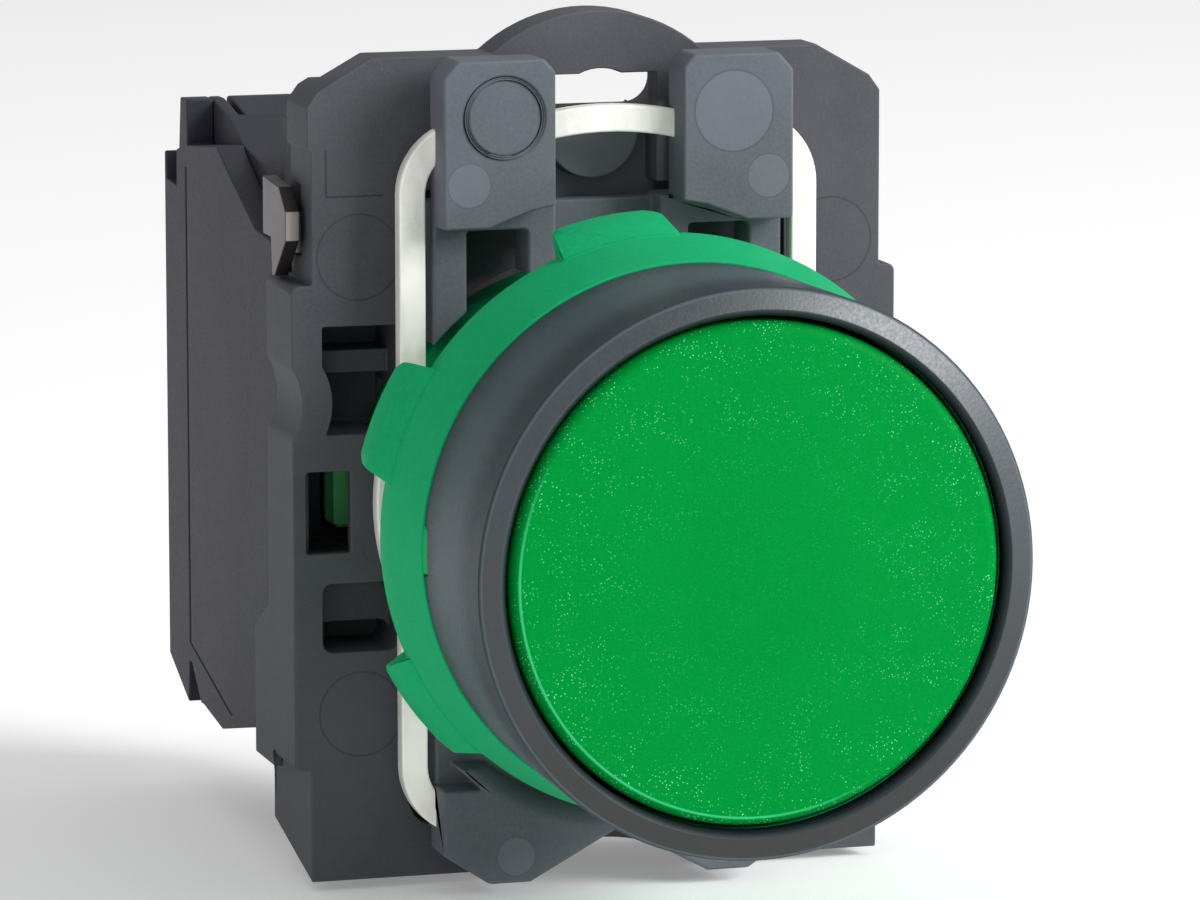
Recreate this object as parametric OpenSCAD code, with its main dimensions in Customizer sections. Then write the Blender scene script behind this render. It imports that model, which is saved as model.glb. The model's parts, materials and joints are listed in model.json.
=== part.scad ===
// Flush push button for a 22 mm panel hole, with its fixing collar and one
// normally open contact block. X points right, Y points back through the panel,
// Z points up. The origin is on the button's axis, in the panel's front plane.

/* [Head] */
// Radius of the push cap
cap_r = 11.5; // [11:0.1:11.6]
// Rise of the cap's crowned face at its centre
cap_crown = 0.35; // [0.1:0.05:0.6]
// Outer radius of the bezel at its front edge
bezel_r = 13.05; // [12.9:0.05:13.3]
// Distance from the panel's front plane to the bezel's front edge
head_height = 17.1; // [16.5:0.1:18]
// Radius of the flange rim behind the bezel
rim_r = 13.7; // [13.4:0.1:14]
// Outer radius over the three lugs of the flange
lug_r = 14.5; // [14.2:0.1:15]
// Radius of the barrel that passes through the panel
barrel_r = 11; // [10.8:0.05:11]

/* [Collar] */
// Distance from the panel's front plane to the collar's front face
collar_y = 8.5; // [8:0.1:9.5]
// Half the collar's width over its ears
ear_x = 15.1; // [14.9:0.1:15.4]
// Half the collar's width above and below the ears
side_x = 14.3; // [14:0.1:14.5]
// Height of the collar's flat top edge above the axis
top_z = 21.1; // [20.9:0.1:21.6]
// Depth of the collar's bottom edge below the axis
bottom_z = 18.65; // [18.5:0.05:19]
// Depth of the collar's plate, front to back
collar_depth = 5.1; // [5.1:0.1:5.4]
// Thickness of the steel clamp frame
strap_t = 0.9; // [0.6:0.1:0.9]
// Width of the steel clamp frame's bar
strap_w = 1.3; // [1:0.1:1.4]

/* [Contact block] */
// Left face of the contact block
block_left = 14.6; // [14.2:0.1:14.6]
// Width of the contact block
block_w = 9.9; // [9.6:0.1:10]
// Depth of the contact block, front to back
block_depth = 23.6; // [23:0.1:24.5]
// Height of the terminal screws above and below the axis
terminal_z = 10.2; // [9.9:0.1:10.4]

/* [Hidden] */
fine = 96;
gap = 0.06;
eps = 0.01;

// Head
bezel_back_y = -7;
bezel_wall = 0.6;
bezel_lip = 1;
edge_y = -3.7;
rim_back_y = -2.4;
gasket_t = 0.6;
bore_r = 9.2;
neck_r = barrel_r - 0.2;
barrel_step_y = 4.4;
stem_r = 5;
guide_front_y = -1.2;
guide_back_y = 0.6;
cup_end_y = collar_y + 0.6;
groove_front_y = collar_y + 2.1;
groove_back_y = collar_y + 3.1;
groove_r = 10.15;
barrel_end_y = collar_y + 3.9;
lug_angles = [157, 100, 216, 280, 337];

// Collar layers, measured back from the collar's front face
floor_y = 1.8;
slot_y = 2.1;
slot_t = 1;
boss_r = 2.3;
boss_z = 17.2;
block_pitch = 9.95;
screw_z = -14.7;
arch_r = 8;
arch_rise = 1.95;
recess_x = 14.1;
recess_top = 16.75;
slit_low = 18.06;
slit_high = 20;
screw_head_r = 2.1;
screw_r = 1.45;
nut_side = 4.6;

// Clamp layers, measured back from the collar's front face
tab_y = -3.9;
post_y = -2;
strap_y = -2.2;
shoe_back_y = 0.4;
tab_in = 3.15;
tab_out = 8.65;
strap_x = 10.38;
strap_top = 18.2;
strap_bottom = -16.3;
strap_corner = 3.5;
waist_in_r = barrel_r + 0.08;
waist_out_r = waist_in_r + 0.47;

// Contact block
block_y = collar_y + collar_depth + 0.1;
block_back_y = block_y + block_depth;
cover_t = 1.4;
wall = 1.2;
block_right = block_w - block_left;
plunger_x = block_right - block_w / 2 + 0.1;
plunger_y = collar_y + 4.1;
plunger_end_y = plunger_y + 13.4;
bridge_y = collar_y + 11.4;
bridge_t = 0.6;
tip_t = 0.5;
tip_r = 1.1;
tip_z = 5.6;
contact_gap = 2.6;
fixed_y = bridge_y + bridge_t + 2 * tip_t + contact_gap + 0.02;
strip_t = 0.7;
strip_w = 3.6;
terminal_y = collar_y + 20.4;
wire_gap = 2.4;
saddle_t = 0.8;
terminal_r = 1.25;
terminal_head_r = 2;
spring_turns = 6;

// ---- Placing helpers ------------------------------------------------------

// Flat outline in X and Z, extruded between two depths
module slab(y0, y1) {
    translate([0, y1, 0]) rotate([90, 0, 0]) linear_extrude(y1 - y0) children();
}

// The same, measured back from the collar's front face
module layer(y0, y1) {
    slab(collar_y + y0, collar_y + y1) children();
}

// Outline in Y and Z, extruded between two X positions
module side_slab(x0, x1) {
    translate([x0, 0, 0]) rotate([90, 0, 90]) linear_extrude(x1 - x0) children();
}

// Ring or disc turned about the button's axis, from [radius, y] points
module turned(points) {
    rotate([-90, 0, 0]) rotate_extrude($fn = fine) polygon(points);
}

// Round bar along Y
module bar(r, y0, y1, x = 0, z = 0) {
    translate([x, y0, z]) rotate([-90, 0, 0]) cylinder(r = r, h = y1 - y0, $fn = fine);
}

// Box between two corners
module block(low, high) {
    translate(low) cube(high - low);
}

// Square outline with four true round corners
module round_rect(x0, z0, x1, z1, r) {
    translate([x0 + r, z0]) square([x1 - x0 - 2 * r, z1 - z0]);
    translate([x0, z0 + r]) square([x1 - x0, z1 - z0 - 2 * r]);
    for (x = [x0 + r, x1 - r], z = [z0 + r, z1 - r])
        translate([x, z]) circle(r, $fn = fine);
}

// Wound wire spring along Y
module coil(r, wire, y0, y1, turns, x = 0, z = 0) {
    steps = 18 * turns;
    pitch = (y1 - y0 - 2 * wire) / turns;
    point = function (i) [
        x + r * cos(360 * i / 18),
        y0 + wire + pitch * i / 18,
        z + r * sin(360 * i / 18)
    ];
    segments = [for (i = [0 : steps - 1]) [point(i), point(i + 1)]];
    sides = 8;
    ring = function (i) let (a = 360 * i / 18)
        [for (k = [0 : sides - 1]) let (b = 360 * k / sides)
            point(i) + wire * [cos(b) * cos(a), sin(b), cos(b) * sin(a)]];
    points = [for (i = [0 : steps]) each ring(i)];
    walls = [for (i = [0 : steps - 1], k = [0 : sides - 1])
        [i * sides + k, i * sides + (k + 1) % sides,
         (i + 1) * sides + (k + 1) % sides, (i + 1) * sides + k]];
    first = [for (k = [sides - 1 : -1 : 0]) k];
    last = [for (k = [0 : sides - 1]) steps * sides + k];
    polyhedron(points, concat([first], walls, [last]));
}

// ---- Head -----------------------------------------------------------------

// Side outline of the key at the left that stops the bezel turning, grown by a gap
module key_outline(grow) {
    low = -0.95 - grow;
    front = bezel_back_y - 0.55 - grow;
    polygon([
        [bezel_back_y + 0.5, low], [front, low], [front, 1 + grow],
        [bezel_back_y, 1.25 + grow], [bezel_back_y + 0.5, 1.25 + grow]
    ]);
}

// Ring round the cap, pressed over the head body's front tube
module bezel() {
    front = -head_height;
    inner = cap_r + 0.22;
    tube = bezel_r - bezel_wall;
    color([0.24, 0.25, 0.26])
        difference() {
            turned([
                [tube, bezel_back_y], [bezel_r - 0.2, bezel_back_y],
                [bezel_r, front + 0.12], [bezel_r - 0.12, front],
                [inner + 0.3, front], [inner, front + 0.3],
                [inner, front + bezel_lip], [tube, front + bezel_lip]
            ]);
            side_slab(-bezel_r - 1, -bezel_r + 2) key_outline(0.05);
        }
}

// Key of the head body that fills the bezel's notch
module key() {
    root_r = bezel_r - bezel_wall - 0.4;
    intersection() {
        side_slab(-bezel_r - 1, -bezel_r + 2) key_outline(0);
        turned([
            [root_r, bezel_back_y - 1], [bezel_r - 0.2, bezel_back_y - 1],
            [bezel_r - 0.2, bezel_back_y + 0.7], [root_r, bezel_back_y + 0.7]
        ]);
    }
}

// One lug, drawn at angle 0 as a rounded tongue running back from the rim
module lug() {
    half = 2.75;
    tongue_r = 1.3;
    intersection() {
        side_slab(rim_r - 2, lug_r + 1) {
            polygon([
                [edge_y + 0.1, half + 0.15], [-tongue_r, half - 0.15],
                [-tongue_r, 0.15 - half], [edge_y + 0.1, -half - 0.15]
            ]);
            translate([-tongue_r - eps, tongue_r - half + 0.15])
                square([tongue_r + eps, 2 * (half - 0.15 - tongue_r)]);
            for (side = [-1, 1])
                translate([-tongue_r, side * (half - 0.15 - tongue_r)])
                    circle(tongue_r, $fn = fine);
        }
        turned([
            [rim_r - 1.4, edge_y], [rim_r, edge_y], [lug_r, edge_y + 2],
            [lug_r, -0.3], [lug_r - 0.3, 0], [rim_r - 1.4, 0]
        ]);
    }
}

// Green moulding: front tube, cone, rim, lugs and threadless barrel
module head_body() {
    tube = bezel_r - bezel_wall - gap;
    front = -head_height + bezel_lip + gap;
    cavity = cap_r + 0.22;
    cavity_floor_y = -8.2;
    seat_r = rim_r - 1.2;
    color([0.1, 0.56, 0.33])
        union() {
            turned([
                [cavity, front], [tube, front], [tube, bezel_back_y],
                [bezel_r - 0.1, bezel_back_y], [rim_r, edge_y], [rim_r, rim_back_y],
                [seat_r, rim_back_y], [seat_r, -gasket_t], [neck_r, -gasket_t],
                [neck_r, 0], [barrel_r, 0], [barrel_r, barrel_step_y], [neck_r, barrel_step_y],
                [neck_r, groove_front_y], [groove_r, groove_front_y],
                [groove_r, groove_back_y], [neck_r, groove_back_y],
                [neck_r, barrel_end_y], [bore_r, barrel_end_y],
                [bore_r, guide_back_y], [stem_r + gap, guide_back_y],
                [stem_r + gap, guide_front_y + 0.8], [bore_r, guide_front_y + 0.8],
                [bore_r, cavity_floor_y], [cavity, cavity_floor_y]
            ]);
            for (angle = lug_angles)
                rotate([0, -angle, 0]) lug();
            key();
        }
}

// Rubber ring between the flange and the panel
module flange_gasket() {
    color([0.12, 0.12, 0.13])
        turned([
            [barrel_r + 0.05, -gasket_t + 0.02], [rim_r - 1.46, -gasket_t + 0.02],
            [rim_r - 1.6, 0], [barrel_r + 0.05, 0]
        ]);
}

// Crowned cap with a skirt and a socket for the pusher's spigot
module push_cap() {
    edge_r = cap_r - 0.6;
    rim_y = -head_height + 0.2;
    skirt_y = -12.9;
    inside_y = rim_y + 1.6;
    boss_y = -11.8;
    boss_out_r = 3.8;
    socket_r = 2.56;
    rings = 8;
    crown = [for (i = [0 : rings]) let (r = edge_r * i / rings)
        [r, rim_y - cap_crown * (1 - pow(r / edge_r, 2))]];
    edge = [for (a = [15 : 15 : 90])
        [edge_r + 0.6 * sin(a), rim_y + 0.6 * (1 - cos(a))]];
    color([0.02, 0.6, 0.24])
        turned(concat(crown, edge, [
            [cap_r, skirt_y], [cap_r - 1.2, skirt_y], [cap_r - 1.2, inside_y],
            [boss_out_r, inside_y], [boss_out_r, boss_y], [socket_r, boss_y],
            [socket_r, inside_y + 0.3], [0, inside_y + 0.3]
        ]));
}

// Lip ring that keeps dirt out of the barrel
module stem_seal() {
    color([0.12, 0.12, 0.13])
        turned([
            [stem_r + 0.03, guide_front_y], [bore_r - 0.03, guide_front_y],
            [bore_r - 0.03, guide_front_y + 0.76], [stem_r + 0.03, guide_front_y + 0.76]
        ]);
}

// Plunger of the head: spigot, neck for the clip, stem, and a ribbed cup
module pusher() {
    neck_y = -10.4;
    lip_y = neck_y - 0.9;
    cup_r = bore_r - 0.1;
    cup_y = guide_back_y + 0.1;
    color([0.16, 0.17, 0.18])
        difference() {
            union() {
                bar(2.5, lip_y - 3.4, lip_y);
                bar(4.7, lip_y - 0.4, lip_y);
                bar(4.3, lip_y - eps, neck_y + eps);
                bar(stem_r, neck_y, cup_end_y);
                bar(cup_r, cup_y, cup_y + 1.4);
                difference() {
                    bar(cup_r, cup_y, cup_end_y);
                    bar(cup_r - 1.4, cup_y + 1.4, cup_end_y + 1);
                }
                for (angle = [0, 90]) rotate([0, angle, 0])
                    block([0.2 - cup_r, cup_y + 1, -0.6], [cup_r - 0.2, cup_end_y, 0.6]);
            }
            bar(3.4, neck_y + 1.6, cup_end_y + 1);
        }
}

// Coil spring that returns the cap
module return_spring() {
    color([0.72, 0.73, 0.74])
        coil(6.6, 0.35, -10.36, guide_front_y - 0.03, spring_turns);
}

// Spring seat snapped over the pusher's neck
module pusher_clip() {
    inner = 4.36;
    outer = 8;
    front = -11.26;
    back = -10.42;
    color([0.8, 0.8, 0.78])
        turned([[inner, front], [outer, front], [outer, back], [inner, back]]);
}

// ---- Collar ---------------------------------------------------------------

// Front outline of the collar, with ears, top arch and bottom arch
module collar_outline() {
    ear_top = 10.3;
    ear_bottom = -13.2;
    scallop_r = 3.5;
    difference() {
        union() {
            polygon([
                [-side_x, -bottom_z], [-side_x, 8], [-recess_x, 8], [-recess_x, recess_top],
                [-side_x, recess_top], [-side_x, top_z - 2.3], [0.55 - side_x, top_z - 1.55],
                [-11.05, top_z], [11.05, top_z], [side_x - 0.55, top_z - 1.55],
                [side_x, top_z - 2.3], [side_x, -bottom_z]
            ]);
            round_rect(-ear_x, ear_bottom, ear_x, ear_top, 0.4);
            translate([0, top_z + arch_rise - arch_r]) circle(arch_r, $fn = fine);
        }
        translate([0, -17.3 - 9]) circle(9, $fn = fine);
        for (side = [-1, 1])
            translate([side * (ear_x + 3), 4.6]) circle(scallop_r, $fn = fine);
    }
}

// Pair of pockets and the window at one side, drawn for the right-hand side
module side_pockets() {
    // Upper pocket: its outer wall follows the scallop
    layer(-1, 4.2) difference() {
        translate([9.9, 3.1]) square([3.7, 5.2]);
        translate([16.6, 4.6]) circle(3.5, $fn = fine);
    }
    // Lower pocket, deeper below its ledge
    layer(-1, 2) round_rect(9.9, -7.45, 13.65, -4.1, 0.5);
    layer(-1, 4.2) round_rect(9.9, -7.45, 13.65, -6.3, 0.5);
    // Window, opening out behind a thin front wall
    layer(-1, 1) translate([12.28, -2.62]) square([2.16, 3.96]);
    layer(0.6, 6) translate([11.16, -2.9]) square([2.9, 4.6]);
    // Passage for a contact block's plunger
    layer(3.4, 6) translate([6.4, -2.3]) square([6, 4.6]);
}

// Bar across the upper pocket
module pocket_rib() {
    layer(1.9, 4.2) translate([9.9, 5.8]) square([3.8, 1.1]);
}

// Moulding that holds the head, the clamp and up to three contact blocks
module collar_body() {
    rail_top = -5.8;
    rail_bottom = -13.7;
    box_depth = 7.5;
    rail_depth = 8;
    opening_x = 9.4;
    color([0.27, 0.28, 0.3])
        difference() {
            union() {
                difference() {
                    union() {
                        layer(0, collar_depth) collar_outline();
                        layer(collar_depth - eps, box_depth) intersection() {
                            collar_outline();
                            translate([-20, -20]) square([40, 20 + rail_bottom + 0.4]);
                        }
                        for (side = [-1, 1])
                            side_slab(side > 0 ? ear_x - 0.45 : -ear_x,
                                      side > 0 ? ear_x : 0.45 - ear_x)
                                translate([collar_y, 0]) polygon([
                                    [collar_depth - 1, rail_top + 0.55],
                                    [collar_depth, rail_top], [rail_depth, rail_top - 1.6],
                                    [rail_depth, rail_bottom], [collar_depth - 1, rail_bottom]
                                ]);
                    }
                    // Opening for the clamp shoes, and the recess between the tabs
                    layer(-1, floor_y) round_rect(-opening_x, -16.1, opening_x, 14.7, 1.2);
                    layer(-1, floor_y) translate([-3, 14]) square([6, slit_high - 14]);
                    for (side = [0, 1]) mirror([side, 0, 0]) side_pockets();
                }
                for (side = [0, 1]) mirror([side, 0, 0]) pocket_rib();
                bar(boss_r, collar_y + 0.7, collar_y + floor_y + eps, 0, boss_z);
            }
            // Seat of the barrel, and the way through for the pusher
            bar(barrel_r + 0.15, collar_y - 1, collar_y + 4.05);
            bar(bore_r + 0.4, collar_y, collar_y + 6);
            // Slit under the arch, wider behind, with rounded lower corners
            layer(-1, 6) {
                translate([-2.9, slit_low]) square([5.8, slit_high - slit_low - 0.1]);
                intersection() {
                    translate([0.2, 17.9]) circle(2.35, $fn = fine);
                    translate([-2.5, slit_low + 0.1]) square([5, 2.5]);
                }
            }
            layer(floor_y - 0.3, 6) round_rect(-4.05, slit_low, 4.05, 20.6, 1.25);
            // Slot of the locking plate, and its way out at the left
            layer(slot_y, slot_y + slot_t) {
                translate([-13.65, 8.5]) square([23.5, 8.1]);
                translate([-15, 11.5]) square([1.5, 3.4]);
            }
            // Clamp screw, its head and its nut
            bar(screw_r + 0.15, collar_y - 1, collar_y + 9, 0, screw_z);
            bar(screw_head_r + 0.2, collar_y + 4.4, collar_y + 9, 0, screw_z);
            layer(2.1, 3.7)
                translate([-nut_side / 2 - 0.05, -20])
                    square([nut_side + 0.1, 20 + screw_z + nut_side / 2 + 0.05]);
            // Sloped underside
            side_slab(-20, 20) translate([collar_y, 0]) polygon([
                [-1, -bottom_z - 1.5], [0, -bottom_z], [box_depth + 1, -16.7],
                [box_depth + 1, -bottom_z - 1.5]
            ]);
            // Hook slots for three contact blocks
            for (i = [-1 : 1])
                layer(collar_depth - 1.3, collar_depth + 1)
                    translate([i * block_pitch - 2.2, 15]) square([4.4, 1.35]);
            // Rebate along the rear edges above the ears
            difference() {
                union() {
                    layer(3.95, 6) translate([-20, 10.35]) square([40, 20]);
                    layer(2.5, 6) translate([-20, 19.85]) square([40, 10]);
                }
                layer(2, 7) {
                    polygon([
                        [1.1 - side_x, 5], [1.1 - side_x, top_z - 2.7], [-10.6, top_z - 1],
                        [10.6, top_z - 1], [side_x - 1.1, top_z - 2.7], [side_x - 1.1, 5]
                    ]);
                    translate([0, top_z + arch_rise - arch_r]) circle(arch_r - 0.9, $fn = fine);
                }
            }
        }
}

// Outline of the steel frame's outer or inner edge: drawn inwards by a step, and
// bulging round the barrel to the given radius
module strap_edge(step, waist_r) {
    bow_r = 16.2;
    bow_rise = 0.54;
    bow_x = 4.15;
    round_rect(step - strap_x, strap_bottom + step, strap_x - step, strap_top - step,
               strap_corner - step);
    intersection() {
        translate([0, strap_top + bow_rise - bow_r]) circle(bow_r - step, $fn = fine);
        translate([-bow_x, strap_top - 3]) square([2 * bow_x, 5]);
    }
    intersection() {
        circle(waist_r, $fn = fine);
        translate([-waist_r, -8]) square([2 * waist_r, 16]);
    }
}

// Steel frame that carries the two clamp shoes and bulges round the barrel
module clamp_frame() {
    color([0.86, 0.85, 0.8])
        layer(strap_y, strap_y + strap_t) difference() {
            strap_edge(0, waist_out_r);
            strap_edge(strap_w, waist_in_r);
        }
}

// Room that the steel frame needs inside a shoe
module frame_channel(back) {
    layer(strap_y - 0.04, back) difference() {
        strap_edge(-0.04, waist_out_r + 0.04);
        strap_edge(strap_w + 0.04, waist_in_r - 0.04);
    }
}

// One tab's outline, drawn for the right-hand side
module tab_outline() {
    polygon([
        [tab_in, 14.2], [tab_in, 20.6], [tab_in + 0.55, 21.2], [tab_out - 0.75, 21.2],
        [tab_out, 20.35], [tab_out, 13.2], [6.4, 13.2], [4.3, 14]
    ]);
}

// Upper shoe: two tabs on four posts, joined by a low bridge
module upper_clamp_shoe() {
    tab_back = -1.35;
    color([0.3, 0.31, 0.33])
        difference() {
            union() {
                for (side = [0, 1]) mirror([side, 0, 0]) layer(tab_y, tab_back) tab_outline();
                layer(post_y, shoe_back_y) difference() {
                    translate([-tab_out, 7.2]) square([2 * tab_out, 7.1]);
                    for (side = [-1, 1])
                        translate([side * 5.5 - 1.5, 7]) square([3, 5.9]);
                    translate([-2.6, 7]) square([5.2, 8]);
                }
                layer(shoe_back_y - 1, shoe_back_y) translate([-2.7, 12.4]) square([5.4, 1.7]);
            }
            bar(barrel_r + 0.4, collar_y - 5, collar_y + 2);
            frame_channel(-1);
            // Plain ring on the left tab
            difference() {
                bar(1.95, collar_y + tab_y - 1, collar_y + tab_y + 0.07, -5.66, 18.45);
                bar(1.83, collar_y + tab_y - 2, collar_y + tab_y + 1, -5.66, 18.45);
            }
        }
}

// Outline of the lower shoe's face up to the given height, with its own arch
module lobe_outline(top) {
    difference() {
        polygon([
            [-8.75, top], [-8.75, -16.9], [-6.5, -18.4], [-4.45, -18.4], [0, -16],
            [4.45, -18.4], [6.5, -18.4], [8.75, -16.9], [8.75, top]
        ]);
        translate([0, -17.25 - 9]) circle(9, $fn = fine);
    }
}

// Lower shoe: lobed face with a cove towards the head, and the screw's seat
module lower_clamp_shoe() {
    cove_w = 1.05;
    cove_z = -5.2;
    cove_arc_r = 10.85;
    rise = post_y - tab_y;
    cove = [for (a = [0 : 15 : 90])
        [cove_arc_r - cove_w * sin(a), collar_y + tab_y + rise * (1 - cos(a))]];
    color([0.3, 0.31, 0.33])
        difference() {
            union() {
                layer(tab_y, -1.35) difference() {
                    lobe_outline(-13.75);
                    translate([0, cove_z]) circle(cove_arc_r, $fn = fine);
                }
                intersection() {
                    translate([0, 0, cove_z]) turned(concat(cove, [
                        [cove_arc_r - cove_w, collar_y - 1.35],
                        [cove_arc_r + 0.1, collar_y - 1.35], [cove_arc_r + 0.1, collar_y + tab_y]
                    ]));
                    layer(tab_y - 1, 0) lobe_outline(-12.7);
                }
                layer(post_y, shoe_back_y)
                    translate([-tab_out, -15.9]) square([2 * tab_out, 8.7]);
            }
            bar(barrel_r + 0.4, collar_y - 5, collar_y + 2);
            frame_channel(strap_y + strap_t + 0.04);
            bar(screw_r + 0.1, collar_y - 0.6, collar_y + 2, 0, screw_z);
        }
}

// Screw that presses the lower shoe forward, with a cross slot in its head
module clamp_screw() {
    tip_y = collar_y - 0.55;
    head_y = collar_y + 8.5;
    color([0.75, 0.76, 0.77])
        difference() {
            union() {
                bar(screw_r, tip_y, head_y + eps, 0, screw_z);
                bar(screw_head_r, head_y, head_y + 1.6, 0, screw_z);
            }
            for (angle = [0, 90])
                translate([0, 0, screw_z]) rotate([0, angle, 0])
                    block([-1.5, head_y + 0.7, -0.3], [1.5, head_y + 2, 0.3]);
        }
}

// Square nut held in the collar
module clamp_nut() {
    color([0.75, 0.76, 0.77])
        difference() {
            layer(2.15, 3.65)
                translate([-nut_side / 2, screw_z - nut_side / 2]) square(nut_side);
            bar(screw_r + 0.08, collar_y, collar_y + 5, 0, screw_z);
        }
}

// Steel plate that drops into the barrel's groove, with a pointed arm at the left
module locking_plate() {
    arm_outer = ear_x;
    arm_t = 0.7;
    color([0.5, 0.45, 0.42])
        union() {
            layer(slot_y + 0.1, slot_y + slot_t - 0.1) {
                difference() {
                    translate([-13.5, 8.7]) square([23.1, 6.4]);
                    circle(barrel_r - 0.7, $fn = fine);
                }
                translate([-arm_outer, 11.6]) square([2, 2]);
            }
            side_slab(-arm_outer, arm_t - arm_outer) translate([collar_y, 0]) polygon([
                [5.6, 15], [2.4, 14.8], [1.1, 13.75], [1.1, 12.35], [3.4, 10.4], [3.8, 10.4],
                [4.05, 12.2], [5.6, 12.2]
            ]);
        }
}

// ---- Contact block --------------------------------------------------------

// Side outline of the block behind the given front and top edges
module block_outline(front_top) {
    translate([collar_y, 0]) polygon(concat(front_top, [
        [25.1, 16.75], [25.5, 14.1], [block_depth + 5.2, 13.6],
        [block_depth + 5.2, -12.6], [24.5, -14.4], [21.4, -13.9], [17.2, -14.4], [9.6, -12.85]
    ]));
}

// Pair of shapes above and below the axis
module up_and_down() {
    children();
    mirror([0, 0, 1]) children();
}

// Housing, open to the left under the cover
module block_housing() {
    left = cover_t - block_left + 0.02;
    guide_x = plunger_x - 3.2;
    notch_x = -12.2;
    color([0.24, 0.25, 0.29])
        difference() {
            union() {
                difference() {
                    union() {
                        side_slab(left, block_right) block_outline([
                            [collar_depth + 0.1, -12.85], [collar_depth + 0.1, 13.2],
                            [9.5, 13.4], [11.9, 14.4], [17.5, 15.1], [20.8, 16.2], [24.1, 16.75]
                        ]);
                        // Walls that guide the latch
                        block([guide_x, block_y, 12], [block_right, collar_y + 11.4, 17.3]);
                    }
                    block([left - 1, block_y + 1.4, -11.2],
                          [block_right - wall, block_back_y - 1.5, 12.6]);
                    block([left - 1, collar_y + 17, -12.65],
                          [block_right - wall, block_back_y - 1.5, -11]);
                }
                // Post inside the return spring
                bar(0.9, block_back_y - 6, block_back_y - 1, plunger_x, 0);
                // Walls beside the fixed contacts
                up_and_down()
                    block([plunger_x + 2.1, collar_y + 13.5, 3.4],
                          [block_right - wall + eps, collar_y + 20, 7.6]);
            }
            // Way through for the plunger
            block([plunger_x - 2.85, block_y - 1, -2.3], [plunger_x + 3.15, block_y + 2, 2.3]);
            // Wire entries and screwdriver holes
            up_and_down() {
                block([plunger_x + 0.45, terminal_y + strip_t, 11],
                      [plunger_x + 2.75, terminal_y + strip_t + wire_gap, 19]);
                bar(terminal_head_r + 0.25, block_back_y - 3, block_back_y + 1,
                    plunger_x, terminal_z);
            }
            // Notch across the top
            side_slab(notch_x - 0.3, notch_x) translate([collar_y, 0])
                polygon([[21, 15.8], [26, 16.4], [26, 19], [21, 19]]);
            // Seat of the latch
            block([plunger_x - 2.9, block_y - 1, 14.1], [plunger_x + 2.9, collar_y + 10.6, 18]);
        }
}

// Label side of the block, with its framed field left blank
module block_cover() {
    left = -block_left;
    right = left + cover_t;
    slope_y = collar_y + 15.5;
    groove_w = 0.3;
    color([0.26, 0.27, 0.31])
        difference() {
            intersection() {
                side_slab(left, right) block_outline([
                    [8.3, -12.8], [8.3, -7.6], [5.3, -5.9], [5.3, 11.4], [7.5, 11.66],
                    [9.9, 11.84], [17.3, 15.1], [23.7, 14.45], [23.7, 16.75]
                ]);
                translate([0, 0, -20]) linear_extrude(40) polygon([
                    [left, slope_y], [left + 0.3, block_y - 1], [right, block_y - 1],
                    [right, block_back_y + 1], [left, block_back_y + 1]
                ]);
            }
            // Frame of the label field
            side_slab(left - 1, left + 0.25) translate([collar_y, 0]) {
                translate([23.9, -11.2]) square([groove_w, 24.5]);
                polygon([[24.2, -11.2], [23.9, -11.2], [15, -13.3], [15.4, -13.3]]);
            }
            // Niches at the top and bottom of the rear edge
            side_slab(left - 1, left + 0.9) translate([collar_y, 0]) {
                polygon([[26.15, 12.1], [28.4, 12.25], [28.45, 15], [26.1, 15]]);
                polygon([[23.8, -12.2], [20.6, -15], [24.6, -15], [24.3, -12.2]]);
            }
        }
}

// Green plunger: nose behind the pusher, broad head, flag at the window, and a
// slot for the bridge
module block_plunger() {
    color([0.2, 0.55, 0.3])
        difference() {
            union() {
                block([plunger_x - 2, plunger_y, -2.1], [plunger_x + 2, plunger_end_y, 2.1]);
                block([plunger_x - 2.4, plunger_y, -2.1], [plunger_x + 3, plunger_y + 1.6, 2.1]);
                block([plunger_x - 2.65, plunger_y - 0.5, -1.9],
                      [plunger_x - 1.6, plunger_y + 1.6, 0.8]);
                block([plunger_x + 0.75, cup_end_y + 0.02, -2.1],
                      [plunger_x + 3, plunger_y + eps, 2.1]);
            }
            block([plunger_x - 1.3, collar_y + 8, -3],
                  [plunger_x + 1.3, bridge_y + bridge_t + 0.04, 3]);
        }
}

// Coil spring that returns the block's plunger
module plunger_spring() {
    color([0.72, 0.73, 0.74])
        coil(1.5, 0.25, plunger_end_y + 0.02, block_back_y - 1.52, spring_turns + 1, plunger_x, 0);
}

// Bar that closes the circuit
module contact_bridge() {
    color([0.75, 0.5, 0.28])
        block([plunger_x - 1.2, bridge_y, -tip_z - 1.3],
              [plunger_x + 1.2, bridge_y + bridge_t, tip_z + 1.3]);
}

// Two silver buttons on the back of the bridge
module bridge_tips() {
    color([0.85, 0.86, 0.88])
        up_and_down()
            bar(tip_r, bridge_y + bridge_t, bridge_y + bridge_t + tip_t, plunger_x, tip_z);
}

// Coil spring that presses the bridge on to the fixed contacts
module contact_spring() {
    color([0.72, 0.73, 0.74])
        coil(0.9, 0.18, collar_y + 8.02, bridge_y - 0.02, 4, plunger_x, 0);
}

// Bent strip from the contact to the terminal, drawn for the upper side
module fixed_contact() {
    arm_low = 4.3;
    leg_low = 6.9;
    half = strip_w / 2;
    color([0.78, 0.6, 0.32])
        difference() {
            union() {
                block([plunger_x - half, fixed_y, arm_low],
                      [plunger_x + half, fixed_y + strip_t, leg_low + strip_t]);
                block([plunger_x - half, fixed_y, leg_low],
                      [plunger_x + half, terminal_y + strip_t, leg_low + strip_t]);
                block([plunger_x - half, terminal_y, leg_low],
                      [plunger_x + half, terminal_y + strip_t, terminal_z + 2.2]);
            }
            bar(terminal_r, terminal_y - 1, terminal_y + 2, plunger_x, terminal_z);
        }
}

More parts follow.
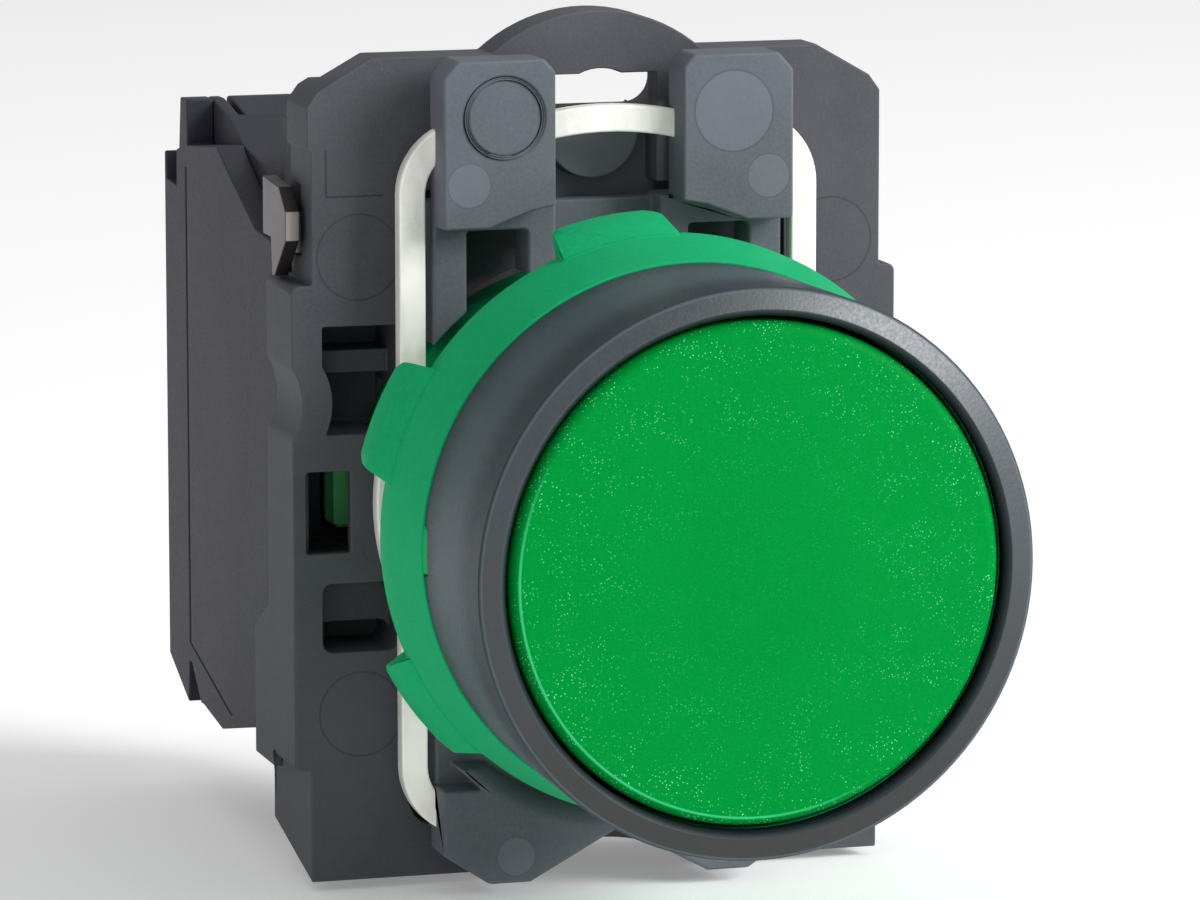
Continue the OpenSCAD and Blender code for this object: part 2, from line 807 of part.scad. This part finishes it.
module upper_fixed_contact() {
    fixed_contact();
}

module lower_fixed_contact() {
    mirror([0, 0, 1]) fixed_contact();
}

// Two silver buttons on the fixed contacts
module fixed_tips() {
    color([0.85, 0.86, 0.88])
        up_and_down()
            bar(tip_r, fixed_y - tip_t, fixed_y, plunger_x, tip_z);
}

// Terminal screw, drawn for the upper side
module terminal_screw() {
    head_y = terminal_y + strip_t + wire_gap + saddle_t + 0.02;
    color([0.78, 0.78, 0.76])
        difference() {
            union() {
                bar(terminal_r - 0.06, terminal_y - 1.4, head_y + eps, plunger_x, terminal_z);
                bar(terminal_head_r, head_y, head_y + 1.5, plunger_x, terminal_z);
            }
            for (angle = [0, 90])
                translate([plunger_x, 0, terminal_z]) rotate([0, angle, 0])
                    block([-1.3, head_y + 0.6, -0.27], [1.3, head_y + 2, 0.27]);
        }
}

module upper_terminal_screw() {
    terminal_screw();
}

module lower_terminal_screw() {
    mirror([0, 0, 1]) terminal_screw();
}

// Saddle under the terminal screw's head, drawn for the upper side
module wire_clamp() {
    saddle_y = terminal_y + strip_t + wire_gap;
    color([0.8, 0.8, 0.78])
        difference() {
            block([plunger_x - 2, saddle_y, 7.9], [plunger_x + 2, saddle_y + saddle_t, 12.4]);
            bar(terminal_r + 0.02, saddle_y - 1, saddle_y + 2, plunger_x, terminal_z);
        }
}

module upper_wire_clamp() {
    wire_clamp();
}

module lower_wire_clamp() {
    mirror([0, 0, 1]) wire_clamp();
}

// Sliding latch that hooks the block to the collar
module block_latch() {
    half = 2.8;
    front = collar_y + collar_depth + 0.25;
    color([0.24, 0.25, 0.29])
        difference() {
            union() {
                block([plunger_x - half, front, 14.2], [plunger_x + half, collar_y + 9.2, 17.2]);
                block([-block_pitch - 1.9, front - 1.15, 15.1],
                      [1.9 - block_pitch, front + eps, 16.2]);
            }
            block([plunger_x - 1.5, collar_y + 7.4, 16.2], [plunger_x + 1.5, collar_y + 8.6, 18]);
        }
}

bezel();
head_body();
flange_gasket();
push_cap();
stem_seal();
pusher();
return_spring();
pusher_clip();
collar_body();
clamp_frame();
upper_clamp_shoe();
lower_clamp_shoe();
clamp_screw();
clamp_nut();
locking_plate();
block_housing();
block_cover();
block_plunger();
plunger_spring();
contact_bridge();
bridge_tips();
contact_spring();
upper_fixed_contact();
lower_fixed_contact();
fixed_tips();
upper_terminal_screw();
lower_terminal_screw();
upper_wire_clamp();
lower_wire_clamp();
block_latch();
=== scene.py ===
# Studio scene of a flush push button with its fixing collar and contact block.
# Units are metres. X points right, Y back through the panel, Z up.

import json
import math

import bpy
from mathutils import Matrix, Vector

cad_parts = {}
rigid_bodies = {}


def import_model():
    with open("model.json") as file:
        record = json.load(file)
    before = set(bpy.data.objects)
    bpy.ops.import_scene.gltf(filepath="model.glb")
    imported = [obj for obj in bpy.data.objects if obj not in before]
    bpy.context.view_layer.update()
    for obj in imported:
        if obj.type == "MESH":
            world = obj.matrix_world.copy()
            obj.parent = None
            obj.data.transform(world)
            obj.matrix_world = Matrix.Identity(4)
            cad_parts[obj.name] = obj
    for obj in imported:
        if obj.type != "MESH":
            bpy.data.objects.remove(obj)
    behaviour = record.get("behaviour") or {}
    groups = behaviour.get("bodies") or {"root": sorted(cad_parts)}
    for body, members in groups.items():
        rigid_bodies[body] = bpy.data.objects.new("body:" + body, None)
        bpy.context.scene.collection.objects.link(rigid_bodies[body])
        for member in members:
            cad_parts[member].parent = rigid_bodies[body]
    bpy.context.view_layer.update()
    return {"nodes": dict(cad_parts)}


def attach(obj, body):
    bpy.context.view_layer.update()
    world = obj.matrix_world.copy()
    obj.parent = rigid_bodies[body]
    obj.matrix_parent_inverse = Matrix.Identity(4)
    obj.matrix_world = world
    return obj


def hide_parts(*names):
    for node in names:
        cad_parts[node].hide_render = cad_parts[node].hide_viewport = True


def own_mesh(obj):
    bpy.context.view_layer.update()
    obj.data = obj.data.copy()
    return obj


for old in list(bpy.data.objects):
    bpy.data.objects.remove(old)

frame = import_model()
nodes = frame["nodes"]

MM = 0.001

# Base colours of the visible parts
RING = (0.031, 0.043, 0.050)
COLLAR = (0.074, 0.077, 0.089)
SHOE = (0.108, 0.120, 0.140)
BLOCK = (0.026, 0.027, 0.038)
GREEN = (0.009, 0.365, 0.14)
CAP = (0.0, 0.23, 0.034)
RUBBER = (0.02, 0.02, 0.021)
WIRE = (0.5, 0.5, 0.52)
SCREW_ZINC = (0.62, 0.62, 0.6)
CLAMP_ZINC = (0.6, 0.6, 0.58)
STRIP_COPPER = (0.72, 0.5, 0.25)
SILVER = (0.85, 0.85, 0.84)

# Planes of the collar's and the shoes' front faces
COLLAR_FACE_Y = 8.5 * MM
SHOE_FACE_Y = 4.6 * MM

# ---- Materials --------------------------------------------------------------


class Tree:
    """Short ways to add shader nodes to one material."""

    def __init__(self, name):
        self.mat = bpy.data.materials.new(name)
        self.mat.use_nodes = True
        self.nt = self.mat.node_tree
        self.nt.nodes.clear()
        self.out = self.nt.nodes.new("ShaderNodeOutputMaterial")
        self.bsdf = self.nt.nodes.new("ShaderNodeBsdfPrincipled")
        self.nt.links.new(self.bsdf.outputs[0], self.out.inputs[0])
        self.place = self.nt.nodes.new("ShaderNodeTexCoord").outputs["Object"]

    def put(self, value, socket):
        if isinstance(value, bpy.types.NodeSocket):
            self.nt.links.new(value, socket)
        else:
            socket.default_value = value

    def math(self, operation, a, b=0.0, clamp=False):
        n = self.nt.nodes.new("ShaderNodeMath")
        n.operation, n.use_clamp = operation, clamp
        self.put(a, n.inputs[0])
        self.put(b, n.inputs[1])
        return n.outputs[0]

    def vector(self, operation, a, b):
        n = self.nt.nodes.new("ShaderNodeVectorMath")
        n.operation = operation
        self.put(a, n.inputs[0])
        self.put(b, n.inputs[1])
        return n.outputs["Value"] if operation == "DOT_PRODUCT" else n.outputs["Vector"]

    def noise(self, size, detail=2.0, rough=0.5, seed=0.0, stretch=(1, 1, 1)):
        """Noise between 0 and 1 with features of about size metres."""
        shifted = self.vector("ADD", self.place, (seed, seed * 0.37, -seed * 0.61))
        scaled = self.vector("MULTIPLY", shifted, stretch)
        n = self.nt.nodes.new("ShaderNodeTexNoise")
        self.put(scaled, n.inputs["Vector"])
        n.inputs["Scale"].default_value = 1 / size
        n.inputs["Detail"].default_value = detail
        n.inputs["Roughness"].default_value = rough
        return n.outputs["Fac"]

    def specks(self, size, share, seed=0.0):
        """1 inside small round dots, one to a cell of size metres, filling share of it."""
        shifted = self.vector("ADD", self.place, (seed, -seed * 0.73, seed * 0.19))
        n = self.nt.nodes.new("ShaderNodeTexVoronoi")
        self.put(shifted, n.inputs["Vector"])
        n.inputs["Scale"].default_value = 1 / size
        return self.span(n.outputs["Distance"], share, share * 0.6)

    def span(self, value, low, high, to_low=0.0, to_high=1.0):
        n = self.nt.nodes.new("ShaderNodeMapRange")
        self.put(value, n.inputs["Value"])
        n.inputs["From Min"].default_value = low
        n.inputs["From Max"].default_value = high
        n.inputs["To Min"].default_value = to_low
        n.inputs["To Max"].default_value = to_high
        return n.outputs["Result"]

    def mix(self, share, a, b, blend="MIX"):
        n = self.nt.nodes.new("ShaderNodeMix")
        n.data_type, n.blend_type = "RGBA", blend
        self.put(share, n.inputs["Factor"])
        self.put(a, n.inputs["A"])
        self.put(b, n.inputs["B"])
        return n.outputs["Result"]

    def times(self, first, *others):
        for other in others:
            first = self.math("MULTIPLY", first, other)
        return first

    def paint(self, share, colour):
        """Lays a colour over the base colour, covering share of it."""
        socket = self.bsdf.inputs["Base Color"]
        under = socket.links[0].from_socket
        self.put(self.mix(share, under, colour), socket)

    def axis(self, index):
        n = self.nt.nodes.new("ShaderNodeSeparateXYZ")
        self.put(self.place, n.inputs[0])
        return n.outputs[index]

    def edges(self, radius):
        """Towards 1 where the surface turns within radius."""
        b = self.nt.nodes.new("ShaderNodeBevel")
        b.samples = 4
        b.inputs["Radius"].default_value = radius
        g = self.nt.nodes.new("ShaderNodeNewGeometry")
        turn = self.vector("DOT_PRODUCT", b.outputs[0], g.outputs["Normal"])
        return self.span(turn, 0.995, 0.9)

    def from_axis(self, x=0.0, z=0.0):
        """Distance from the line along Y through x, z."""
        dx = self.math("SUBTRACT", self.axis(0), x)
        dz = self.math("SUBTRACT", self.axis(2), z)
        return self.math("SQRT", self.math("ADD", self.times(dx, dx), self.times(dz, dz)))

    def facing(self, x=0.0, y=0.0, z=0.0):
        """0 to 1 as the surface turns towards the given direction."""
        g = self.nt.nodes.new("ShaderNodeNewGeometry")
        return self.math("MAXIMUM", self.vector("DOT_PRODUCT", g.outputs["Normal"], (x, y, z)), 0)

    def near(self, value, centre, half, soft):
        """1 where value is within half of centre, fading out over soft."""
        away = self.math("ABSOLUTE", self.math("SUBTRACT", value, centre))
        return self.span(away, half + soft, half)

    def bump(self, height, distance, strength=1.0):
        n = self.nt.nodes.new("ShaderNodeBump")
        n.inputs["Strength"].default_value = strength
        n.inputs["Distance"].default_value = distance
        self.put(height, n.inputs["Height"])
        self.put(n.outputs[0], self.bsdf.inputs["Normal"])

    def tilt(self, share):
        """Leans the normal outwards from the button's axis by share of its length."""
        n = self.nt.nodes.new("ShaderNodeVectorMath")
        n.operation = "NORMALIZE"
        self.put(self.vector("MULTIPLY", self.place, (1, 0, 1)), n.inputs[0])
        lean = self.nt.nodes.new("ShaderNodeVectorMath")
        lean.operation = "SCALE"
        self.put(n.outputs[0], lean.inputs[0])
        self.put(share, lean.inputs["Scale"])
        old = self.bsdf.inputs["Normal"].links[0].from_socket
        self.put(self.vector("ADD", old, lean.outputs[0]), self.bsdf.inputs["Normal"])


def grey(value):
    return (value, value, value, 1)


def tinted(colour, by):
    return tuple(min(1.0, c * by) for c in colour) + (1,)


def plastic(name, colour, roughness=0.55, grain=0.16, sheen=0.25, speck=0.25, edge=1.6,
            cloud=0.14, seed=1.0, grain_depth=0.012):
    """Moulded plastic: slow cloudiness, fine grain, pale specks and lighter edges, partly wear and
    partly painted highlight.
    """
    t = Tree(name)
    slow = t.noise(6 * MM, 3, 0.6, seed)
    fine = t.noise(grain * MM, 2, 0.6, seed + 3)
    body = t.mix(t.span(slow, 0.3, 0.7), tinted(colour, 1 - cloud), tinted(colour, 1 + cloud))
    body = t.mix(t.span(fine, 0.35, 0.7, 0, 0.35), body, tinted(colour, 1.45))
    dots = t.specks(0.42 * MM, 0.16, seed)
    patch = t.span(t.noise(2.5 * MM, 2, 0.6, seed + 7), 0.5, 0.7)
    body = t.mix(t.math("MULTIPLY", t.math("MULTIPLY", dots, patch), speck), body,
                 tinted(colour, 3.2))
    # Lighter edges: partly wear, partly a painted highlight where rounded edges catch the light;
    # edge sets how much lighter.
    wear_and_highlight = t.math("MULTIPLY", t.edges(0.16 * MM),
                  t.span(t.noise(0.9 * MM, 3, 0.7, seed + 11), 0.3, 0.65, 0.25, 0.9))
    body = t.mix(wear_and_highlight, body, tinted(colour, edge))
    t.put(body, t.bsdf.inputs["Base Color"])
    t.put(t.span(fine, 0.2, 0.8, roughness - 0.08, roughness + 0.1),
          t.bsdf.inputs["Roughness"])
    t.bsdf.inputs["Specular IOR Level"].default_value = sheen
    t.bump(t.math("ADD", fine, t.math("MULTIPLY", slow, 0.4)), grain_depth * MM, 0.8)
    return t


def metal(name, colour, roughness=0.32, brush=(1, 1, 1), stain=None, seed=1.0, stain_share=0.5):
    """Plated or bare metal: drawn lines, cloudy tarnish and bright edges."""
    t = Tree(name)
    lines = t.noise(0.25 * MM, 3, 0.6, seed, brush)
    slow = t.noise(4 * MM, 3, 0.6, seed + 5)
    body = t.mix(t.span(slow, 0.3, 0.7), tinted(colour, 0.88), tinted(colour, 1.06))
    if stain:
        share = t.span(t.noise(2.2 * MM, 4, 0.7, seed + 9), 0.5, 0.68, 0, stain_share)
        body = t.mix(share, body, stain + (1,))
    body = t.mix(t.span(lines, 0.35, 0.7, 0, 0.3), body, tinted(colour, 0.75))
    body = t.mix(t.math("MULTIPLY", t.edges(0.1 * MM), 0.5), body, tinted(colour, 1.25))
    t.put(body, t.bsdf.inputs["Base Color"])
    t.bsdf.inputs["Metallic"].default_value = 1.0
    t.put(t.span(slow, 0.2, 0.8, roughness - 0.06, roughness + 0.12),
          t.bsdf.inputs["Roughness"])
    t.bump(lines, 0.006 * MM, 0.6)
    return t


def cap_material():
    """Satin green cap, with fine pale specks that thicken outwards and a painted highlight on the
    lower left rim.
    """
    t = plastic("cap_green", CAP, roughness=0.45, grain=0.12, speck=0.0, edge=1.25,
                cloud=0.03, seed=4.0, grain_depth=0.004, sheen=0.02)
    middle_r, middle_end_r = 3.4 * MM, 5.2 * MM
    sparse_r, dense_r, highlight_rim_r = 4 * MM, 11.4 * MM, 11.08 * MM
    speck_size, speck_share, speck_cover = 0.15 * MM, 0.24, 0.75
    radius = t.from_axis()
    outwards = t.span(radius, sparse_r, dense_r, 0.1, 1)
    patch = t.span(t.noise(1.5 * MM, 3, 0.65, 8), 0.44, 0.6)
    dots = t.specks(speck_size, speck_share, 2)
    t.paint(t.span(radius, middle_end_r, middle_r, 0, 0.25), tinted(CAP, 0.93))
    t.paint(t.times(dots, patch, outwards, speck_cover), (0.25, 0.95, 0.55, 1))
    # Painted highlight: a thin pale line on the lower left rim of the cap.
    lit_lower_left = t.span(t.math("ADD", t.axis(0), t.axis(2)), -4 * MM, -11 * MM)
    rim = t.times(t.near(radius, highlight_rim_r, 0.03 * MM, 0.05 * MM), lit_lower_left)
    t.paint(t.math("MULTIPLY", rim, 0.8), (0.05, 0.62, 0.24, 1))
    return t


def bezel_material():
    """Charcoal ring. Its flat front shades as if it leant outwards, with painted shade towards the
    bottom, painted shade at the inner lip and a painted highlight at the outer edge.
    """
    t = plastic("bezel_charcoal", RING, roughness=0.42, grain=0.14, speck=0.35, seed=1)
    shade_lip_r, shade_lip_end_r, highlight_edge_r = 11.8 * MM, 11.95 * MM, 12.93 * MM
    radius = t.from_axis()
    front = t.span(t.facing(y=-1), 0.85, 0.97)
    t.tilt(t.math("MULTIPLY", front, 0.5))
    t.put(t.span(front, 0, 1, 0.12, 0.8), t.bsdf.inputs["Specular IOR Level"])
    # Painted shade: the front face darkens towards the bottom.
    shade_downwards = t.span(t.axis(2), 4 * MM, -9 * MM, 0, 0.95)
    t.paint(t.times(shade_downwards, front), tinted(RING, 0.15))
    # Painted shade: a dark band on the inner lip next to the cap.
    t.paint(t.span(radius, shade_lip_end_r, shade_lip_r), tinted(RING, 0.3))
    # Painted highlight: a thin pale line round the outer front edge.
    edge = t.near(radius, highlight_edge_r, 0.03 * MM, 0.05 * MM)
    t.paint(t.math("MULTIPLY", edge, 0.6), tinted(RING, 3.0))
    return t


def marked(t, face_y, discs, colour, line, field=0.0):
    """Faint round ejector marks on a front face: a thin dark line round a paler field."""
    face = t.near(t.axis(1), face_y, 0.06 * MM, 0.03 * MM)
    for x, z, radius in discs:
        away = t.math("DIVIDE", t.from_axis(x * MM, z * MM), radius * MM)
        if field:
            inside = t.times(t.span(away, 1.0, 0.96), face)
            t.paint(t.math("MULTIPLY", inside, field), tinted(colour, 1.6))
        rim = t.times(t.near(away, 1.0, 0.012, 0.02), face)
        t.paint(t.math("MULTIPLY", rim, line), tinted(colour, 0.35))


def shoe_plastic(name, seed, discs):
    """Grey shoe plastic; each disc is the x, z and radius of a mark, in millimetres."""
    t = plastic(name, SHOE, roughness=0.6, seed=seed)
    marked(t, SHOE_FACE_Y, discs, SHOE, line=0.35, field=0.5)
    return t


def collar_material():
    """Grey plastic, with painted light in the recess under the arch and painted shade on its
    left-facing faces, finely marked.
    """
    t = plastic("collar_plastic", COLLAR, roughness=0.6, speck=0.2, seed=9)
    x, y, z = t.axis(0), t.axis(1), t.axis(2)
    # Painted light: the recess under the arch is lightened as if lit.
    recess = t.times(t.near(x, 0, 3.3 * MM, 0.2 * MM), t.near(z, 16.2 * MM, 2.2 * MM, 0.3 * MM),
                     t.near(y, 9.6 * MM, 1.2 * MM, 0.2 * MM))
    t.paint(recess, tinted(COLLAR, 2.3))
    # Corner of a mould insert: an upright and a level line on the front face
    front = t.near(y, COLLAR_FACE_Y, 0.02 * MM, 0.02 * MM)
    upright = t.times(t.near(x, -13.38 * MM, 0.03 * MM, 0.03 * MM),
                      t.near(z, 15.65 * MM, 1.1 * MM, 0.05 * MM))
    level = t.times(t.near(z, 14.52 * MM, 0.03 * MM, 0.03 * MM),
                    t.near(x, -12.0 * MM, 1.35 * MM, 0.1 * MM))
    line = t.times(t.math("MAXIMUM", upright, level), front)
    t.paint(t.math("MULTIPLY", line, 0.7), tinted(COLLAR, 0.3))
    # Painted shade: faces turned to the left are darkened.
    t.paint(t.math("MULTIPLY", t.facing(x=-1), 0.35), tinted(COLLAR, 0.3))
    mark_x, low_z, high_z, mark_r = 11.8, -10.5, 11.6, 2.05
    discs = [(side * mark_x, z, mark_r) for side in (-1, 1) for z in (low_z, high_z)]
    marked(t, COLLAR_FACE_Y, discs, COLLAR, line=0.5)
    return t


def frame_material():
    """Nickel plate, dulled in places; mostly diffuse, with painted light: it glows faintly in
    patches to stay bright, less on its left-facing sides.
    """
    t = metal("frame_nickel", (0.86, 0.85, 0.80), 0.36, stain=(0.55, 0.46, 0.34), seed=10,
              stain_share=0.16)
    t.bsdf.inputs["Metallic"].default_value = 0.12
    t.bsdf.inputs["Emission Color"].default_value = (1.0, 0.97, 0.9, 1)
    # Painted light: cloudy patches of glow, turned down on faces that point left.
    bright = t.span(t.noise(1.8 * MM, 3, 0.6, 31, (1, 1, 0.35)), 0.38, 0.62, 0.1, 0.26)
    side = t.span(t.facing(x=-1), 0.4, 0.8)
    t.put(t.math("MULTIPLY", bright, t.math("SUBTRACT", 1.0, side)),
          t.bsdf.inputs["Emission Strength"])
    return t


def lock_material():
    """Stamped steel: heat-tinted face, painted shade on its top and bottom faces and a painted
    highlight on the front of the tip.
    """
    t = metal("lock_steel", (0.14, 0.128, 0.137), 0.4, stain=(0.12, 0.085, 0.075), seed=15,
              stain_share=0.5)
    t.bsdf.inputs["Metallic"].default_value = 0.45
    # Painted shade: faces turned up or down are darkened.
    shade_top_bottom = t.span(t.math("MAXIMUM", t.facing(z=1), t.facing(z=-1)), 0.3, 0.5)
    t.paint(shade_top_bottom, (0.03, 0.026, 0.028, 1))
    # Painted highlight: the front face at the outer tip is lightened.
    lit_tip = t.span(t.axis(0), -14.1 * MM, -14.3 * MM)
    t.paint(t.times(t.span(t.facing(y=-1), 0.85, 0.95), lit_tip), (0.42, 0.38, 0.34, 1))
    return t


materials = {
    "bezel": bezel_material(),
    "head_body": plastic("body_green", GREEN, roughness=0.45, grain=0.2, speck=0.05,
                         edge=1.35, cloud=0.06, seed=2, sheen=0.03),
    "flange_gasket": plastic("gasket_rubber", RUBBER, roughness=0.75, seed=3),
    "push_cap": cap_material(),
    "stem_seal": plastic("seal_rubber", RUBBER, roughness=0.75, seed=5),
    "pusher": plastic("pusher_plastic", (0.03, 0.031, 0.034), seed=6),
    "return_spring": metal("spring_wire", WIRE, 0.25, seed=7),
    "pusher_clip": plastic("clip_plastic", (0.6, 0.59, 0.54), edge=1.1, speck=0, seed=8),
    "collar_body": collar_material(),
    "clamp_frame": frame_material(),
    "upper_clamp_shoe": shoe_plastic("upper_shoe_plastic", 11,
                                     [(5.66, 18.45, 1.95), (-7.4, 15.3, 1.05), (7.4, 15.3, 1.05)]),
    "lower_clamp_shoe": shoe_plastic("lower_shoe_plastic", 12,
                                     [(-5.2, -17.1, 0.95), (5.2, -17.1, 0.95)]),
    "clamp_screw": metal("screw_zinc", SCREW_ZINC, 0.3, seed=13),
    "clamp_nut": metal("nut_zinc", CLAMP_ZINC, 0.35, seed=14),
    "locking_plate": lock_material(),
    "block_housing": plastic("housing_plastic", BLOCK, roughness=0.55, seed=16),
    "block_cover": plastic("cover_plastic", BLOCK, roughness=0.55, seed=17),
    "block_plunger": plastic("plunger_green", (0.09, 0.5, 0.16), roughness=0.5, speck=0.1,
                             edge=1.3, seed=18),
    "plunger_spring": metal("plunger_spring_wire", WIRE, 0.25, seed=19),
    "contact_bridge": metal("bridge_copper", (0.72, 0.45, 0.22), 0.3, seed=20),
    "bridge_tips": metal("bridge_silver", SILVER, 0.2, seed=21),
    "contact_spring": metal("contact_spring_wire", WIRE, 0.25, seed=22),
    "upper_fixed_contact": metal("upper_strip_copper", STRIP_COPPER, 0.3, seed=23),
    "lower_fixed_contact": metal("lower_strip_copper", STRIP_COPPER, 0.3, seed=24),
    "fixed_tips": metal("fixed_silver", SILVER, 0.2, seed=25),
    "upper_terminal_screw": metal("upper_screw_zinc", SCREW_ZINC, 0.3, seed=26),
    "lower_terminal_screw": metal("lower_screw_zinc", SCREW_ZINC, 0.3, seed=27),
    "upper_wire_clamp": metal("upper_saddle_zinc", CLAMP_ZINC, 0.35, seed=28),
    "lower_wire_clamp": metal("lower_saddle_zinc", CLAMP_ZINC, 0.35, seed=29),
    "block_latch": plastic("latch_plastic", BLOCK, seed=30),
}

# ---- Finishing the CAD nodes --------------------------------------------------

# Edge rounding of each node, in millimetres
ROUNDING = {
    "bezel": 0.06, "head_body": 0.07, "push_cap": 0.03, "collar_body": 0.09,
    "clamp_frame": 0.12, "upper_clamp_shoe": 0.16, "lower_clamp_shoe": 0.16,
    "locking_plate": 0.06, "block_housing": 0.12, "block_cover": 0.08,
    "block_plunger": 0.1, "block_latch": 0.1, "clamp_screw": 0.08, "clamp_nut": 0.08,
    "upper_terminal_screw": 0.04, "lower_terminal_screw": 0.04, "contact_bridge": 0.05,
    "upper_wire_clamp": 0.06, "lower_wire_clamp": 0.06, "upper_fixed_contact": 0.05,
    "lower_fixed_contact": 0.05, "bridge_tips": 0.08, "fixed_tips": 0.08,
    "pusher": 0.1, "pusher_clip": 0.06, "flange_gasket": 0.04, "stem_seal": 0.06,
}


def finish(node, width):
    """Joins the CAD mesh, merges flat facets, rounds its sharp edges and evens the shading."""
    o = nodes[node]
    weld = o.modifiers.new("join", "WELD")
    weld.merge_threshold = 0.001 * MM
    flat = o.modifiers.new("flat", "DECIMATE")
    flat.decimate_type = "DISSOLVE"
    flat.angle_limit = math.radians(0.6)
    edge = o.modifiers.new("rounding", "BEVEL")
    edge.width = width * MM
    edge.segments = 2
    edge.limit_method = "ANGLE"
    edge.angle_limit = math.radians(32)
    edge.use_clamp_overlap = False
    edge.miter_outer = "MITER_ARC"
    even = o.modifiers.new("shading", "WEIGHTED_NORMAL")
    even.weight = 60
    for polygon in o.data.polygons:
        polygon.use_smooth = True


for node, made in materials.items():
    nodes[node].data.materials.clear()
    nodes[node].data.materials.append(made.mat)
for node, width in ROUNDING.items():
    finish(node, width)

# ---- Springs -------------------------------------------------------------------


def wind(name, node, body, wire, turns):
    """Winds a coil along Y in place of a node, carried by the given body, and hides the node."""
    points = [nodes[node].matrix_world @ v.co for v in nodes[node].data.vertices]
    low = [min(q[i] for q in points) for i in range(3)]
    high = [max(q[i] for q in points) for i in range(3)]
    centre_x, centre_z = (low[0] + high[0]) / 2, (low[2] + high[2]) / 2
    radius = (high[0] - low[0]) / 2 - wire
    round_steps, sides = 32, 12
    steps = round_steps * turns
    rise = (high[1] - low[1] - 2 * wire) / steps
    vertices, faces = [], []
    for i in range(steps + 1):
        angle = 2 * math.pi * i / round_steps
        middle = low[1] + wire + rise * i
        for k in range(sides):
            b = 2 * math.pi * k / sides
            out = radius + wire * math.cos(b)
            vertices.append((centre_x + out * math.cos(angle), middle + wire * math.sin(b),
                             centre_z + out * math.sin(angle)))
    for i in range(steps):
        for k in range(sides):
            after = (k + 1) % sides
            faces.append((i * sides + k, i * sides + after,
                          (i + 1) * sides + after, (i + 1) * sides + k))
    faces.append(tuple(reversed(range(sides))))
    faces.append(tuple(steps * sides + k for k in range(sides)))
    mesh = bpy.data.meshes.new(name)
    mesh.from_pydata(vertices, [], faces)
    mesh.validate()
    mesh.polygons.foreach_set("use_smooth", [len(f.vertices) == 4 for f in mesh.polygons])
    coil = bpy.data.objects.new(name, mesh)
    bpy.context.scene.collection.objects.link(coil)
    coil.data.materials.append(materials[node].mat)
    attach(coil, body)
    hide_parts(node)
    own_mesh(coil)


wind("return_spring_coil", "return_spring", "frame", 0.35 * MM, 6)
wind("plunger_spring_coil", "plunger_spring", "frame", 0.25 * MM, 7)
wind("contact_spring_coil", "contact_spring", "plunger", 0.18 * MM, 4)

# ---- Floor, light and camera ---------------------------------------------------

FLOOR_Z = -19.1 * MM
bpy.ops.mesh.primitive_plane_add(size=8, location=(0, 0, FLOOR_Z))
floor = bpy.context.object
floor.name = "studio_floor"
ground = Tree("floor_pale")
ground.put(ground.mix(ground.noise(0.4, 2, 0.5, 1), grey(0.93), grey(0.96)),
           ground.bsdf.inputs["Base Color"])
ground.bsdf.inputs["Roughness"].default_value = 0.9
ground.bsdf.inputs["Specular IOR Level"].default_value = 0.1
ground.bsdf.inputs["Emission Color"].default_value = grey(1)
ground.bsdf.inputs["Emission Strength"].default_value = 0.2
floor.data.materials.append(ground.mat)

world = bpy.data.worlds.new("studio")
bpy.context.scene.world = world
world.use_nodes = True
# White surroundings: full strength where seen, softer as light on the object
SEEN, SOFT = 1.0, 0.45
world_nodes = world.node_tree.nodes
rays = world_nodes.new("ShaderNodeLightPath")
level = world_nodes.new("ShaderNodeMapRange")
level.inputs["To Min"].default_value, level.inputs["To Max"].default_value = SOFT, SEEN
world.node_tree.links.new(rays.outputs["Is Camera Ray"], level.inputs["Value"])
world_nodes["Background"].inputs["Color"].default_value = (1, 1, 1, 1)
world.node_tree.links.new(level.outputs[0], world_nodes["Background"].inputs["Strength"])


def softbox(name, place, target, size, power, colour=(1, 1, 1)):
    data = bpy.data.lights.new(name, "AREA")
    data.shape, data.size, data.energy, data.color = "SQUARE", size, power, colour
    light = bpy.data.objects.new(name, data)
    bpy.context.scene.collection.objects.link(light)
    light.location = place
    light.rotation_euler = (Vector(target) - Vector(place)).to_track_quat("-Z", "Y").to_euler()
    return light


key = softbox("key", (0.54, -0.45, 0.38), (0, 0, 0), 0.4, 6.6)
fill = softbox("fill", (-0.7, -0.35, 0.25), (0, 0.01, 0), 0.5, 0.3)
overhead = softbox("overhead", (0.0, 0.15, 0.8), (0, 0.01, 0), 0.7, 0.5)

AZIMUTH, ELEVATION, ROLL = -16.526, 9.096, -0.04
DISTANCE = 323.97 * MM
AIM_RIGHT, AIM_UP = -2.273 * MM, 3.05 * MM
SENSOR_WIDTH, FOCAL_LENGTH = 36.0, 206.45

a, e, r = (math.radians(v) for v in (AZIMUTH, ELEVATION, ROLL))
back = Vector((math.sin(a) * math.cos(e), -math.cos(a) * math.cos(e), math.sin(e)))
right = Vector((math.cos(a), math.sin(a), 0))
up = back.cross(right)
right, up = (right * math.cos(r) + up * math.sin(r)), (up * math.cos(r) - right * math.sin(r))
camera_data = bpy.data.cameras.new("camera")
camera_data.sensor_width, camera_data.lens = SENSOR_WIDTH, FOCAL_LENGTH
camera_data.clip_start, camera_data.clip_end = 0.01, 20
camera = bpy.data.objects.new("camera", camera_data)
bpy.context.scene.collection.objects.link(camera)
camera.matrix_world = Matrix((
    (right.x, up.x, back.x, 0), (right.y, up.y, back.y, 0), (right.z, up.z, back.z, 0),
    (0, 0, 0, 1)))
camera.location = back * DISTANCE + right * AIM_RIGHT + up * AIM_UP
bpy.context.scene.camera = camera

bpy.context.scene.view_settings.view_transform = "Standard"
bpy.context.scene.view_settings.look = "None"
